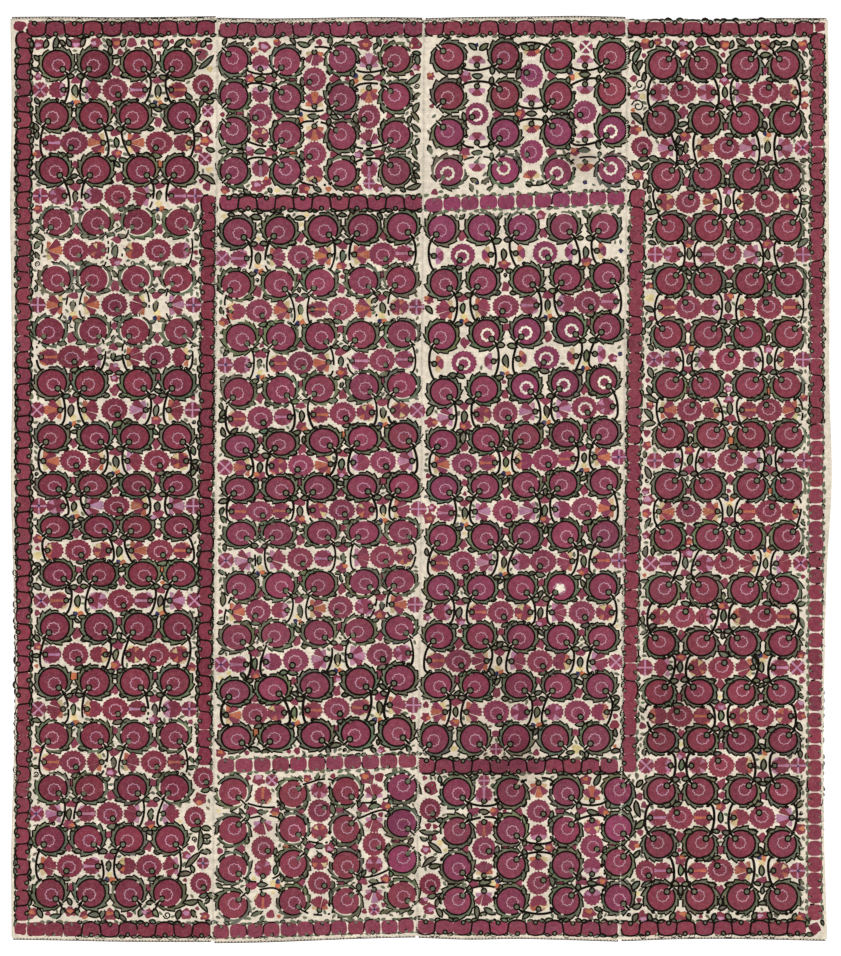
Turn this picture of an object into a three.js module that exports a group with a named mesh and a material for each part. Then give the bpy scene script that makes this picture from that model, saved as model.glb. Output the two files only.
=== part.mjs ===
import * as THREE from "three";

// Suzani: four loom widths of cotton sewn edge to edge, lying flat with the stitched face up.
// Millimetres. X runs across the widths, Y along them to the top end, Z up from the surface below.

const LENGTH = 2420; // over the braids of both ends, where the cloth is longest
const THICK = 2; // ground cloth together with the silk stitched through it
const GAP = 0.3; // clearance between pieces that are sewn to each other
const BRAID_WIDTH = 5; // dark edging braid along the two ends
const BRAID_END = 4; // the braid stops this far from a seam or a selvedge
const EDGE_STEP = 45; // longest straight run along an edge

const COTTON = { color: "#e4d8c4", roughness: 0.95, metalness: 0 };
const BRAID = { color: "#2a241f", roughness: 0.85, metalness: 0 };

// x of the selvedges and seams on lines evenly spaced from the top end to the bottom end.
const LINES = [
  { left: -1071, seamLeft: -531, seamMiddle: 8, seamRight: 538, right: 1062 },
  { left: -1068, seamLeft: -532, seamMiddle: 7, seamRight: 537, right: 1065 },
  { left: -1072, seamLeft: -534, seamMiddle: 5, seamRight: 536, right: 1065 },
  { left: -1069, seamLeft: -535, seamMiddle: 3, seamRight: 534, right: 1066 },
  { left: -1067, seamLeft: -536, seamMiddle: 2, seamRight: 531, right: 1066 },
  { left: -1070, seamLeft: -536, seamMiddle: 1, seamRight: 529, right: 1072 },
  { left: -1064, seamLeft: -537, seamMiddle: -1, seamRight: 528, right: 1059 },
  { left: -1059, seamLeft: -539, seamMiddle: -4, seamRight: 526, right: 1053 },
  { left: -1062, seamLeft: -541, seamMiddle: -7, seamRight: 523, right: 1050 },
  { left: -1069, seamLeft: -542, seamMiddle: -9, seamRight: 521, right: 1053 },
  { left: -1068, seamLeft: -543, seamMiddle: -10, seamRight: 519, right: 1060 },
];

// Each loom width lies between two of those lines. topShort and bottomShort say how far its ends
// stay inside LENGTH at even steps from left to right. The braid has worn off before topBraidFrom.
const WIDTHS = [
  { name: "left", from: "left", to: "seamLeft", topBraidFrom: 0,
    topShort: [3, 2, 4, 3, 1], bottomShort: [9, 7, 4, 3, 3] },
  { name: "centre_left", from: "seamLeft", to: "seamMiddle", topBraidFrom: 0,
    topShort: [5, 7, 5, 3, 5], bottomShort: [0, 2, 7, 12, 15] },
  { name: "centre_right", from: "seamMiddle", to: "seamRight", topBraidFrom: 0,
    topShort: [6, 3, 2, 0, 3], bottomShort: [14, 9, 11, 8, 4] },
  { name: "right", from: "seamRight", to: "right", topBraidFrom: 0.48,
    topShort: [4, 8, 9, 6, 6], bottomShort: [5, 10, 11, 9, 6] },
];

// Reads a smooth curve through evenly spaced values at a share of its run.
function smoothly(values, share) {
  const curve = new THREE.SplineCurve(values.map((value, i) => new THREE.Vector2(i, value)));
  return curve.getPoint(THREE.MathUtils.clamp(share, 0, 1)).y;
}

function lineX(line, y) {
  return smoothly(LINES.map((row) => row[line]), 0.5 - y / LENGTH);
}

function shares(from, to, run) {
  const steps = Math.max(2, Math.ceil(((to - from) * run) / EDGE_STEP));
  return Array.from({ length: steps + 1 }, (_, i) => from + ((to - from) * i) / steps);
}

// A point of a width's end: end is 1 at the top and -1 at the bottom, inset runs in from the end.
function endPoint(width, end, share, inset) {
  const short = Math.max(0, smoothly(end > 0 ? width.topShort : width.bottomShort, share));
  const y = end * (LENGTH / 2 - short - inset);
  const x = THREE.MathUtils.lerp(lineX(width.from, y) + GAP / 2, lineX(width.to, y) - GAP / 2, share);
  return new THREE.Vector2(x, y);
}

// The points between the corners of a side, from one height to another.
function sidePoints(line, offset, fromY, toY) {
  const inner = shares(0, 1, Math.abs(toY - fromY)).slice(1, -1);
  return inner.map((share) => {
    const y = THREE.MathUtils.lerp(fromY, toY, share);
    return new THREE.Vector2(lineX(line, y) + offset, y);
  });
}

function sheet(name, outline, finish) {
  const shape = new THREE.Shape(outline);
  const geometry = new THREE.ExtrudeGeometry(shape, { depth: THICK, bevelEnabled: false });
  const mesh = new THREE.Mesh(geometry, new THREE.MeshStandardMaterial(finish));
  mesh.name = name;
  return mesh;
}

function widthAcross(width) {
  return lineX(width.to, 0) - lineX(width.from, 0);
}

function panel(width) {
  const inset = BRAID_WIDTH + GAP;
  const across = shares(0, 1, widthAcross(width));
  const bottom = across.map((share) => endPoint(width, -1, share, inset));
  const top = across.map((share) => endPoint(width, 1, share, inset)).reverse();
  const right = sidePoints(width.to, -GAP / 2, bottom.at(-1).y, top[0].y);
  const left = sidePoints(width.from, GAP / 2, top.at(-1).y, bottom[0].y);
  return sheet(`panel_${width.name}`, [...bottom, ...right, ...top, ...left], COTTON);
}

function braid(width, end, firstShare) {
  const run = widthAcross(width);
  const margin = BRAID_END / run;
  const across = shares(Math.max(firstShare, margin), 1 - margin, run);
  const outer = across.map((share) => endPoint(width, end, share, 0));
  const inner = across.map((share) => endPoint(width, end, share, BRAID_WIDTH));
  const name = `braid_${end > 0 ? "top" : "bottom"}_${width.name}`;
  return sheet(name, [...inner, ...outer.reverse()], BRAID);
}

const suzani = new THREE.Group();
for (const width of WIDTHS) {
  suzani.add(panel(width));
  suzani.add(braid(width, 1, width.topBraidFrom));
  suzani.add(braid(width, -1, 0));
}

export default suzani;
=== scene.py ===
# %% [markdown]
# A suzani is a bridal cover from a farmhouse loom: four narrow widths of cotton sewn edge to edge, with
# every span of the face filled in silk. Row after row of madder roundels sit in green leaf rings, dark
# vines run between them, and a chain of red links frames the field. This lesson lays the cloth flat,
# charts the rows and lets short functions stitch each kind of motif.

import math

import bmesh
import bpy
import numpy as np
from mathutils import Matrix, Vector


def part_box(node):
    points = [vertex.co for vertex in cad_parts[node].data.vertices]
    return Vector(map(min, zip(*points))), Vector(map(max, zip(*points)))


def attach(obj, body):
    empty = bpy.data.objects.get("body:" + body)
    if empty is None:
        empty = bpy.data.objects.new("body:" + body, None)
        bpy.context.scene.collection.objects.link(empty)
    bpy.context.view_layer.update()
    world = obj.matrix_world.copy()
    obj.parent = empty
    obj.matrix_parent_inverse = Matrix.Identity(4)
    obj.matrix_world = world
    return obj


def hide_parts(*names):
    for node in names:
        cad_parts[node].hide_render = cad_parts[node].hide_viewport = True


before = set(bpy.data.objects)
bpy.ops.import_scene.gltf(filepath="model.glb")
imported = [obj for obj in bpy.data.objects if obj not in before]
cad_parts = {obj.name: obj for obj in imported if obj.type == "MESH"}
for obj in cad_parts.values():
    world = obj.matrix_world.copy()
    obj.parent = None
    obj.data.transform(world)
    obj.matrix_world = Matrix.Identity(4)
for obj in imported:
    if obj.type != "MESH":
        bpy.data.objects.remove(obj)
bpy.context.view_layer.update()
print("frame nodes:", len(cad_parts))

# %% [markdown]
# The camera looks straight down, because the cloth is shown face on. A long lens keeps the edges as square
# as they are on the real cloth. The chart below is counted in squares of 2.61 mm, and one square is one
# pixel of the picture, so the camera's height follows from the picture's height in squares.

# %% Chart and camera
SQUARE = 0.00261
CHART_MIDDLE = np.array((421.0, 479.5))
PICTURE = (841, 956)
LENS = 0.1
SENSOR_HEIGHT = 0.036


def metres(chart):
    """Chart squares, counted right and down from the top left, as metres on the cloth."""
    return (np.asarray(chart, float) - CHART_MIDDLE) * (SQUARE, -SQUARE)


def overhead_camera():
    data = bpy.data.cameras.new("overhead")
    data.lens = LENS * 1000
    data.sensor_fit = "VERTICAL"
    data.sensor_height = SENSOR_HEIGHT * 1000
    data.clip_end = 60
    camera = bpy.data.objects.new("overhead", data)
    x, y = metres((PICTURE[0] / 2, PICTURE[1] / 2))
    camera.location = (x, y, PICTURE[1] * SQUARE * LENS / SENSOR_HEIGHT)
    bpy.context.scene.collection.objects.link(camera)
    bpy.context.scene.camera = camera
    return camera


print("camera height", round(overhead_camera().location.z, 3))

# %% [markdown]
# Cloth never lies dead flat. Close stitching draws it into broad, shallow cockles. They are a sum of a few
# slow waves, kept in one function, so that the sheet and all the stitching on it rise together.

# %% How the cloth lies
CLOTH_THICK = 0.0011
COCKLE = 0.0008
WAVES = ((4.1, 9.3, 0.4), (11.7, -5.1, 1.9), (-8.2, 14.4, 4.1), (19.0, 6.5, 2.6), (3.0, -23.0, 0.9))


def cockle(x, y):
    """How high the underside of the cloth lies above the floor."""
    swell = sum(np.sin(kx * x + ky * y + start) for kx, ky, start in WAVES) / len(WAVES)
    return COCKLE * (1 + swell)


print("cockles up to", round(2000 * COCKLE, 2), "mm")

# %% [markdown]
# The loom widths themselves come first. A grid is stretched between the edges of each packed panel, so the
# outline stays the measured one, and Solidify gives it the thickness of cotton. Outer edges are turned in
# a narrow hem, which shows as a low ridge.

# %% Loom widths
WIDTHS = ("left", "centre_left", "centre_right", "right")
GRID = (44, 164)
HEM_LOOPS = (0.0, 0.004, 0.008)
NEAR_EDGE = 0.03
HEM_WIDTH = 0.008
HEM_RISE = 0.0007


def edges_of(node):
    """The four edges of a panel as sorted points, to be read by interpolation."""
    low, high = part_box(node)
    co = np.array([v.co[:2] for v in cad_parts[node].data.vertices])
    sides = {
        "left": co[co[:, 0] < low.x + NEAR_EDGE],
        "right": co[co[:, 0] > high.x - NEAR_EDGE],
        "bottom": co[co[:, 1] < low.y + NEAR_EDGE],
        "top": co[co[:, 1] > high.y - NEAR_EDGE],
    }
    for name, points in sides.items():
        axis = 1 if name in ("left", "right") else 0
        sides[name] = points[np.argsort(points[:, axis], kind="stable")]
    return sides


def side_x(edge, y):
    return np.interp(y, edge[:, 1], edge[:, 0])


def hem(distance):
    """A low rounded ridge where the edge is turned in."""
    share = np.clip(distance / HEM_WIDTH, 0, 1)
    return HEM_RISE * np.clip(1.6 * np.sin(math.pi * np.clip(share * 0.5 + 0.5, 0, 1)), 0, 1) * (share < 1)


def drawn_to_hems(share, steps, run):
    """Moves the first and last loops of a grid to where the hem begins and ends."""
    loops = np.array(HEM_LOOPS) / run
    ends = np.arange(len(loops)) / steps
    return np.interp(share, np.concatenate((ends, 1 - ends[::-1])), np.concatenate((loops, 1 - loops[::-1])))


def loom_width(name):
    edges = edges_of(f"panel_{name}")
    bm = bmesh.new()
    bmesh.ops.create_grid(bm, x_segments=GRID[0], y_segments=GRID[1], size=0.5)
    for vert in bm.verts:
        s = drawn_to_hems(vert.co.x + 0.5, GRID[0], 0.53)
        t = drawn_to_hems(vert.co.y + 0.5, GRID[1], 2.4)
        guess = edges["bottom"][0, 0] * (1 - s) + edges["bottom"][-1, 0] * s
        foot = np.interp(guess, edges["bottom"][:, 0], edges["bottom"][:, 1])
        guess = edges["top"][0, 0] * (1 - s) + edges["top"][-1, 0] * s
        head = np.interp(guess, edges["top"][:, 0], edges["top"][:, 1])
        y = foot * (1 - t) + head * t
        x = side_x(edges["left"], y) * (1 - s) + side_x(edges["right"], y) * s
        rise = hem(min(y - foot, head - y))
        if name == "left":
            rise = max(rise, hem(x - side_x(edges["left"], y)))
        if name == "right":
            rise = max(rise, hem(side_x(edges["right"], y) - x))
        vert.co = (x, y, cockle(x, y) + CLOTH_THICK + rise)
    bmesh.ops.recalc_face_normals(bm, faces=bm.faces)
    if sum(face.normal.z for face in bm.faces) < 0:
        bmesh.ops.reverse_faces(bm, faces=bm.faces)
    for face in bm.faces:
        face.smooth = True
    mesh = bpy.data.meshes.new(f"cotton_{name}")
    bm.to_mesh(mesh)
    bm.free()
    cloth = bpy.data.objects.new(f"cotton_{name}", mesh)
    bpy.context.scene.collection.objects.link(cloth)
    solid = cloth.modifiers.new("cotton thickness", "SOLIDIFY")
    solid.thickness = CLOTH_THICK
    solid.offset = -1
    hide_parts(f"panel_{name}")
    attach(cloth, "root")
    return cloth


cloths = {name: loom_width(name) for name in WIDTHS}
print("loom widths:", *cloths)

# %% [markdown]
# Thousands of stitched shapes would choke the file as objects of their own, so each thread on each width is
# one joined mesh, gathered as arrays. A patch is a puffed fill inside an outline, and a ribbon is a line of
# stitches with an arched back. Both carry a map named stitch whose rows follow the shape, as the silk does,
# and a dye of their own, because no two skeins came out of the vat alike.

# %% Threads gathered as arrays
THREADS = ("red", "green", "dark", "accent")
FULL_CROWN = ((1.0, 0.0), (0.9, 0.75), (0.6, 0.95), (0.28, 1.0))
SOFT_CROWN = ((1.0, 0.0), (0.72, 0.9))
LOW_CROWN = ((1.0, 0.0),)
ON_CLOTH = 0.0001
MARK_REACH = 1


class Threadwork:
    """Stitched shapes of one thread on one loom width."""

    def __init__(self):
        self.places, self.lifts, self.dyes = [], [], []
        self.faces = {3: [], 4: []}
        self.rows = {3: [], 4: []}
        self.count = 0

    def add(self, places, lifts, dye, faces, rows):
        """faces and rows are lists of arrays, of triangles or of quads with their place in the rows."""
        self.places.append(places)
        self.lifts.append(lifts)
        self.dyes.append(np.broadcast_to(dye, (len(places), 3)))
        for corners, where in zip(faces, rows):
            self.faces[corners.shape[1]].append(corners + self.count)
            self.rows[corners.shape[1]].append(where)
        self.count += len(places)


silks = {name: {thread: Threadwork() for thread in THREADS} for name in WIDTHS}
taken = np.zeros((PICTURE[1] + 4, PICTURE[0] + 4), bool)


def mark(points, reach=MARK_REACH):
    """Notes the chart squares that are stitched over."""
    across = np.rint(points).astype(int)
    for down in range(-reach, reach + 1):
        for right in range(-reach, reach + 1):
            y = np.clip(across[:, 1] + down, 0, taken.shape[0] - 1)
            x = np.clip(across[:, 0] + right, 0, taken.shape[1] - 1)
            taken[y, x] = True


def is_free(at, reach):
    """Whether no stitching lies within reach of a chart place."""
    x, y = np.rint(at).astype(int)
    return not taken[max(0, y - reach) : y + reach + 1, max(0, x - reach) : x + reach + 1].any()


def patch(work, outline, lift, dye, crown=SOFT_CROWN, base=ON_CLOTH, reach=MARK_REACH):
    """A puffed fill from base up to lift: rings drawn in towards the middle, closed by a fan."""
    count = len(outline)
    middle = outline.mean(0)
    arms = outline - middle
    run = np.linalg.norm(np.roll(outline, -1, 0) - outline, axis=1).cumsum() * SQUARE
    run = np.concatenate(([0], run))
    depth = np.linalg.norm(arms, axis=1).mean() * SQUARE
    places = np.concatenate([middle + arms * share for share, _ in crown] + [middle[None]])
    lifts = np.concatenate([np.full(count, base + (lift - base) * rise) for _, rise in crown] + [[lift]])
    here = np.arange(count)
    there = (here + 1) % count
    quads, quad_rows = [], []
    for ring in range(len(crown) - 1):
        outer, inner = ring * count, (ring + 1) * count
        quads.append(np.stack((outer + here, outer + there, inner + there, inner + here), 1))
        far, near = depth * (1 - crown[ring][0]), depth * (1 - crown[ring + 1][0])
        along = np.stack((run[:-1], run[1:], run[1:], run[:-1]), 1)
        inward = np.broadcast_to((far, far, near, near), (count, 4))
        quad_rows.append(np.stack((along, inward), 2))
    last = (len(crown) - 1) * count
    fan = np.stack((last + here, last + there, np.full(count, len(places) - 1)), 1)
    along = np.stack((run[:-1], run[1:], (run[:-1] + run[1:]) / 2), 1)
    inner = depth * (1 - crown[-1][0])
    inward = np.broadcast_to((inner, inner, depth), (count, 3))
    fan_rows = np.stack((along, inward), 2)
    work.add(places, lifts, dye, quads + [fan], quad_rows + [fan_rows])
    mark(places, reach)


def lanes(here, there, starts, ends, half):
    """Two strips of quads along steps that have three points across, with their places in the rows."""
    quads, rows = [], []
    along = np.stack((starts, starts, ends, ends), 1)
    for lane in (0, 1):
        back, front = 3 * here + lane, 3 * there + lane
        quads.append(np.stack((back, back + 1, front + 1, front), 1))
        low, high = lane * half, (lane + 1) * half
        rows.append(np.stack((along, np.broadcast_to((low, high, high, low), along.shape)), 2))
    return quads, rows


def ribbon(work, path, width, lift, dye, closed=False, kept=None, base=ON_CLOTH):
    """A line of stitches: three points across each step of a path, the middle one raised."""
    count = len(path)
    if closed:
        way = np.roll(path, -1, 0) - np.roll(path, 1, 0)
    else:
        way = np.gradient(path, axis=0)
    way = way / np.maximum(np.linalg.norm(way, axis=1, keepdims=True), 1e-9)
    normal = np.stack((-way[:, 1], way[:, 0]), 1) * np.broadcast_to(width, (count,))[:, None] / 2
    places = np.stack((path - normal, path, path + normal), 1).reshape(-1, 2)
    lifts = np.tile((base, lift, base), count)
    here = np.arange(count if closed else count - 1)
    there = (here + 1) % count
    step = np.linalg.norm(path[there] - path[here], axis=1) * SQUARE
    run = np.concatenate(([0], step.cumsum()))
    if kept is not None:
        here = here[kept[: len(here)]]
        there = (here + 1) % count
    starts, ends = run[here], run[here] + step[here]
    half = float(np.mean(width)) * SQUARE / 2
    work.add(places, lifts, dye, *lanes(here, there, starts, ends, half))
    mark(path)


def band(work, inner, outer, lift, dye):
    """A puffed strip between two lines with the same number of points."""
    middle = (inner + outer) / 2
    count = len(inner)
    places = np.stack((inner, middle, outer), 1).reshape(-1, 2)
    lifts = np.tile((ON_CLOTH, lift, ON_CLOTH), count)
    here = np.arange(count - 1)
    step = np.linalg.norm(np.diff(middle, axis=0), axis=1) * SQUARE
    run = np.concatenate(([0], step.cumsum()))
    half = np.linalg.norm(outer - inner, axis=1).mean() * SQUARE / 2
    work.add(places, lifts, dye, *lanes(here, here + 1, run[:-1], run[1:], half))
    mark(places)


print("threads on each width:", *THREADS)

# %% [markdown]
# Colours are the vat dyes: madder red that leans to magenta on the two middle widths, grey green, an iron
# black that rots, and small lots of pink, orange, yellow and indigo. Iron eats silk, so the dark lines are
# whole in some rows and gone in others. WEAR charts how much of them is left, by areas of the chart.

# %% Dyes and wear
def dye(code):
    """A dye from its screen code, as linear light."""
    parts = np.array([int(code[i : i + 2], 16) for i in (1, 3, 5)]) / 255
    return np.where(parts <= 0.04045, parts / 12.92, ((parts + 0.055) / 1.055) ** 2.4)


MADDER = dye("#7b3140")
BRICK = dye("#843947")
ROSE = dye("#843b4c")
MAGENTA = dye("#873b57")
LEAF = dye("#686b56")
IRON = dye("#120d08")
PINK = dye("#bb86a2")
SHELL = dye("#b78c9a")
ORANGE = dye("#bb6b48")
YELLOW = dye("#dcc78f")
INDIGO = dye("#2b2b52")
BARE = dye("#e9ddca")

# left, top, right, bottom of an area, the share of dark line left in it, and how thick it is
WEAR = (
    (0, 0, 217, 196, 0.97, 1.15),
    (36, 198, 196, 357, 0.52, 0.85),
    (0, 357, 217, 706, 0.98, 1.15),
    (36, 708, 215, 812, 0.8, 1.0),
    (0, 814, 215, 960, 0.92, 1.1),
    (218, 42, 424, 192, 0.85, 1.05),
    (218, 192, 424, 256, 0.98, 1.2),
    (218, 258, 422, 412, 0.74, 0.95),
    (217, 412, 422, 512, 1.0, 1.22),
    (217, 514, 420, 652, 0.75, 0.95),
    (215, 656, 420, 752, 1.0, 1.3),
    (213, 754, 418, 960, 0.7, 0.95),
    (424, 42, 628, 150, 0.97, 1.15),
    (424, 150, 628, 192, 0.5, 0.9),
    (424, 192, 628, 214, 0.03, 0.8),
    (422, 216, 626, 480, 0.96, 1.15),
    (422, 480, 626, 755, 0.96, 1.12),
    (418, 756, 622, 960, 0.94, 1.12),
    (626, 0, 841, 150, 0.98, 1.2),
    (624, 150, 800, 600, 0.95, 1.05),
    (624, 600, 800, 960, 0.97, 1.25),
    (624, 192, 646, 770, 0.6, 0.9),
    (213, 754, 418, 774, 0.2, 0.8),
    (213, 916, 418, 944, 0.35, 0.8),
    (16, 918, 76, 944, 0.1, 0.8),
    (803, 42, 841, 424, 0.7, 0.8),
    (803, 425, 841, 915, 0.12, 0.8),
)
WEAR_BLUR = 6.0
WHOLE_LINE = 0.95
chance = np.random.default_rng(1907)


def darkness(points):
    """The share of dark line left at some chart places, and how thick it is there."""
    left = np.full(len(points), 0.85)
    thick = np.ones(len(points))
    for x0, y0, x1, y1, share, heft in WEAR:
        x, y = points[:, 0], points[:, 1]
        inside = np.minimum.reduce((x - x0, x1 - x, y - y0, y1 - y))
        weight = np.clip(inside / WEAR_BLUR + 0.5, 0, 1)
        left += (share - left) * weight
        thick += (heft - thick) * weight
    return left, thick


def dark_line(silk, path, width=2.0, lift=0.0011, closed=False, base=ON_CLOTH):
    """An outline or vine in iron black, broken where the silk has rotted."""
    left, thick = darkness(path)
    luck = chance.random(len(path))
    luck = (luck + np.roll(luck, 1) + np.roll(luck, 2)) / 3
    kept = (left >= WHOLE_LINE) | (0.5 + (luck - 0.5) * 1.7 < left)
    if kept.any():
        black = IRON * chance.uniform(0.7, 1.5)
        ribbon(silk["dark"], path, width * thick, lift, black, closed, kept, base)


def lot(colour, spread=0.055):
    """One skein of a dye, a little lighter, darker or warmer than the next."""
    return colour * (1 + chance.normal(0, spread)) * (1 + chance.normal(0, spread * 0.6, 3))


print("areas of wear:", len(WEAR))

# %% [markdown]
# The stitched alphabet: leaves, buds, curls and lozenges are the small letters. Each is written in chart
# squares around the origin and then set on the cloth by a frame, whose first arm runs across the row and
# whose second runs the way the stems grow, so that one letter serves rows that grow down, up or sideways.

# %% Small motifs
TURN = 2 * math.pi
LEAF_LIFT = 0.0008
LEAF_LINE = (1.8, 0.001)
BUD_RISE = 0.0006
BUD_LINE_RISE = 0.0008
LOZENGE_RISE = 0.0007
FRAMES = {
    "down": np.array(((1.0, 0.0), (0.0, 1.0))),
    "up": np.array(((1.0, 0.0), (0.0, -1.0))),
    "left": np.array(((0.0, 1.0), (-1.0, 0.0))),
    "right": np.array(((0.0, 1.0), (1.0, 0.0))),
}


def oval(turns, wide, high):
    return np.stack((wide * np.cos(turns), high * np.sin(turns)), 1)


def wavering(turns, amount):
    """The slight unevenness of a drawn circle."""
    start = chance.uniform(0, TURN, 3)
    return 1 + amount * sum(np.sin(k * turns + s) / k for k, s in zip((2, 3, 5), start))


def through(points, count):
    """A smooth path through a few points."""
    points = np.asarray(points, float)
    padded = np.concatenate(([2 * points[0] - points[1]], points, [2 * points[-1] - points[-2]]))
    at = np.linspace(0, len(points) - 1, count)
    first = np.minimum(at.astype(int), len(points) - 2)
    t = (at - first)[:, None]
    a, b, c, d = (padded[first + i] for i in range(4))
    return 0.5 * (2 * b + (c - a) * t + (2 * a - 5 * b + 4 * c - d) * t**2 + (3 * b - a - 3 * c + d) * t**3)


def leaf(silk, at, way, length=11.0, width=5.0, outlined=True):
    """A pointed leaf from its base, with a dark outline."""
    way = np.asarray(way, float) / np.linalg.norm(way) + chance.normal(0, 0.09, 2)
    length = length * chance.uniform(0.9, 1.1)
    side = np.array((-way[1], way[0]))
    share = np.linspace(0, 1, 7)
    half = width / 2 * np.sin(math.pi * share**0.85) ** 0.8
    belly = chance.uniform(-0.1, 0.1) * length * np.sin(math.pi * share)
    spine = at + np.outer(share * length, way) + np.outer(belly, side)
    outline = np.concatenate((spine + half[:, None] * side, (spine - half[:, None] * side)[-2:0:-1]))
    patch(silk["green"], outline, LEAF_LIFT, lot(LEAF, 0.12), LOW_CROWN)
    if outlined:
        dark_line(silk, outline, *LEAF_LINE, closed=True)


def bud(silk, at, size=2.2, base=ON_CLOTH):
    ring = oval(np.arange(10) * TURN / 10, size, size)
    patch(silk["green"], at + ring, base + BUD_RISE, lot(LEAF), LOW_CROWN, base)
    dark_line(silk, at + ring * (1 + 0.5 / size), 1.5, base + BUD_LINE_RISE, closed=True, base=base)


def curl(silk, at, way, size=3.0, hand=1):
    """A tendril that rolls up."""
    turns = np.linspace(0, 1.35 * TURN, 12)
    radius = size * (1 - turns / (1.75 * TURN))
    start = math.atan2(way[1], way[0]) - hand * math.pi / 2
    dark_line(silk, at + oval(start + hand * turns, 1, 1) * radius[:, None], 1.35)


def lozenge(silk, at, wide, high, lobes, colour, thread="red", base=ON_CLOTH):
    """A small ragged head with a few lobes."""
    turns = np.arange(4 * lobes) * TURN / (4 * lobes)
    swell = (1 + 0.15 * np.cos(lobes * (turns + chance.uniform(0, TURN)))) * chance.uniform(0.9, 1.16)
    swell = swell + chance.normal(0, 0.09, len(turns))
    at = at + chance.normal(0, 0.4, 2)
    outline = at + oval(turns, wide, high) * swell[:, None]
    patch(silk[thread], outline, base + LOZENGE_RISE, lot(colour), LOW_CROWN, base)


print("small motifs ready")

# %% [markdown]
# The roundel is the word that the whole cloth repeats. Its red disc is filled in rounds from the rim to the
# middle and is cut by a notch where its stem comes in. A green bud closes the notch, a scalloped pink line
# runs round it, and two toothed bracts clasp the disc from the stem up to where the last vine arrives.

# %% Roundels
DISC_LIFT = 0.0011
RING_LIFT = 0.0008
DISC_HIGH = (9.8, 14.0)
DISC_PER_PITCH = 0.25
NOTCH = 0.17
RING_INNER = 1.09
RING_REACH = 0.17
TOOTH_REACH = 0.24
TEETH = 6
TOOTH_STEPS = np.array((0.0, 0.4, 0.82, 0.97))
TOOTH_RISE = np.array((0.0, 0.4, 1.0, 0.1))


def roundel(silk, at, grow, side, arrive, wide, high, colour, pale_eye=False):
    """side says where the stem leaves across the row, arrive where the vine before it came in."""
    eye = math.atan2(0.70, side * 0.72)
    come = math.atan2(-0.94, arrive * 0.34)
    turns = eye + np.concatenate(([0.0], np.linspace(NOTCH, TURN - NOTCH, 31)))
    rim = oval(turns, wide, high) * wavering(turns, 0.02)[:, None]
    disc = rim.copy()
    disc[0] *= 0.48
    patch(silk["red"], at + disc @ grow, DISC_LIFT, lot(colour), FULL_CROWN, reach=2)
    dark_line(silk, at + rim[1:] @ grow * 1.05, 2.0)
    for hand in (1, -1):
        share = np.append((np.arange(TEETH)[:, None] + TOOTH_STEPS).ravel() / TEETH, 1.0)
        tooth = np.append((chance.uniform(0.6, 1.2, (TEETH, 1)) * TOOTH_RISE).ravel(), 0.0)
        span = (hand * (come - eye)) % TURN - 0.25
        swell = np.sin(math.pi * np.clip(share, 0.03, 0.97)) ** 0.4
        turns = eye + hand * (0.1 + share * span)
        arc = oval(turns, wide, high)
        hooked = oval(turns + hand * 0.06 * tooth**2, wide, high)
        outer = hooked * (RING_INNER + (RING_REACH + TOOTH_REACH * tooth) * swell)[:, None]
        if chance.random() < 0.35:
            tip = at + (arc[-1] * 1.22) @ grow
            curl(silk, tip, tip - at, 2.2, hand)
        band(silk["green"], at + arc @ grow * RING_INNER, at + outer @ grow, RING_LIFT, lot(LEAF, 0.12))
        dark_line(silk, at + outer @ grow, 1.85)
    seat = oval(np.array((eye,)), wide, high)
    round_eye = eye + np.linspace(0.55, TURN - 0.55, 37)
    scallop = 0.93 + 0.22 * np.abs(np.sin((round_eye - eye) * 4.5))
    line = seat * 0.15 + oval(round_eye, wide * 0.4, high * 0.4) * scallop[:, None]
    top = DISC_LIFT - 0.0001
    tint, thick = (BARE, 2.6) if pale_eye else (SHELL, 1.2)
    ribbon(silk["accent"], at + line @ grow, thick, top + 0.0004, lot(tint, 0.06), base=top)
    bud(silk, (at + seat @ grow * 0.6)[0], 2.4, top + 0.0002)
    dark_line(silk, at + np.linspace(0.78, 1.3, 5)[:, None] * (seat @ grow), 2.0, 0.0015)


print("a disc is up to", round(2 * DISC_HIGH[1] * SQUARE * 100, 1), "cm high")

# %% [markdown]
# Between two rows each column sends one vine to the disc below. Vines of neighbouring columns lean together
# and apart by turns, so every second span holds a pair of vines with a leaf, and the spans between them are
# open and hold a large scalloped flower. A fan of petals faces each vine.

# %% Motifs between the rows
HEAD_LIFT = 0.0009
UNDER_HEAD = 0.0006
ON_HEAD = (0.0014, 0.0007)
FLOWER_LIFT = 0.001
STRIPE_LIFT, STRIPE_BASE = 0.0013, 0.0008
VINE_WIDTH, VINE_LIFT = 2.2, 0.0012
PETAL_EDGE = np.array((0.86, 0.98, 0.9, 1.0, 0.9, 0.98, 0.86))
STRIPE_WAIST = np.array((1.0, 0.7, 0.7, 1.0))


def petal(silk, thread, at, angle, spread, far, colour, grow, lift=HEAD_LIFT, base=ON_CLOTH):
    """One sector of a rosette, with three small scallops along its edge."""
    turns = angle + spread * np.linspace(-1, 1, len(PETAL_EDGE))
    outline = np.concatenate((oval(turns, 1, 1) * (far * PETAL_EDGE)[:, None], ((0.0, 0.0),)))
    patch(silk[thread], at + outline @ grow, lift, lot(colour), LOW_CROWN, base)


def ball(silk, at, wide, high, colour, scallops=13):
    """A round head with a scalloped edge."""
    turns = np.arange(3 * scallops) * TURN / (3 * scallops) + chance.uniform(0, TURN)
    edge = wavering(turns, 0.03) - 0.06 + 0.17 * np.abs(np.sin(turns * scallops / 2))
    patch(silk["red"], at + oval(turns, wide, high) * edge[:, None], HEAD_LIFT, lot(colour), SOFT_CROWN)


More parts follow.
